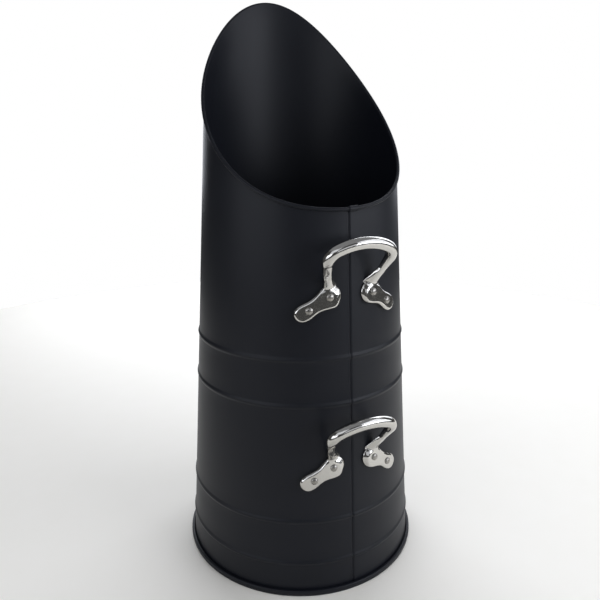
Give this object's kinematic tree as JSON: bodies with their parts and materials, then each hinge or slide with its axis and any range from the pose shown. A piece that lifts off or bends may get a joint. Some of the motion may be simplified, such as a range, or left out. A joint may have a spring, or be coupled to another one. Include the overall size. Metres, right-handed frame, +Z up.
{
  "type": "coal scuttle",
  "caption": "Tall coal hod with a tapered black sheet steel barrel, a scooped pouring mouth, a seamed-on floor plate and cast bow handles riveted to its low side.",
  "frame": {"origin": "on the barrel's axis, on the plane that the folded foot stands on", "axes": "+Z up along the barrel's axis; -Y towards the low side of the mouth, where both handles are; +X to the right when facing the handles"},
  "size_m": [0.2208, 0.2346, 0.4998],
  "materials": {
    "black_coat": "satin black powder coat on sheet steel",
    "edge_wire": "drawn steel wire",
    "chrome_casting": "polished chrome plate on a die casting",
    "rivet_metal": "polished aluminium",
    "burr_metal": "zinc plated steel"
  },
  "bodies": {
    "root": {"body_shell": "black_coat", "rim_wire": "edge_wire", "floor_plate": "black_coat", "upper_handle": "chrome_casting", "lower_handle": "chrome_casting", "upper_left_inner_rivet": "rivet_metal", "upper_left_outer_rivet": "rivet_metal", "upper_right_inner_rivet": "rivet_metal", "upper_right_outer_rivet": "rivet_metal", "lower_left_inner_rivet": "rivet_metal", "lower_left_outer_rivet": "rivet_metal", "lower_right_inner_rivet": "rivet_metal", "lower_right_outer_rivet": "rivet_metal", "upper_left_inner_burr": "burr_metal", "upper_left_outer_burr": "burr_metal", "upper_right_inner_burr": "burr_metal", "upper_right_outer_burr": "burr_metal", "lower_left_inner_burr": "burr_metal", "lower_left_outer_burr": "burr_metal", "lower_right_inner_burr": "burr_metal", "lower_right_outer_burr": "burr_metal"}
  },
  "joints": []
}
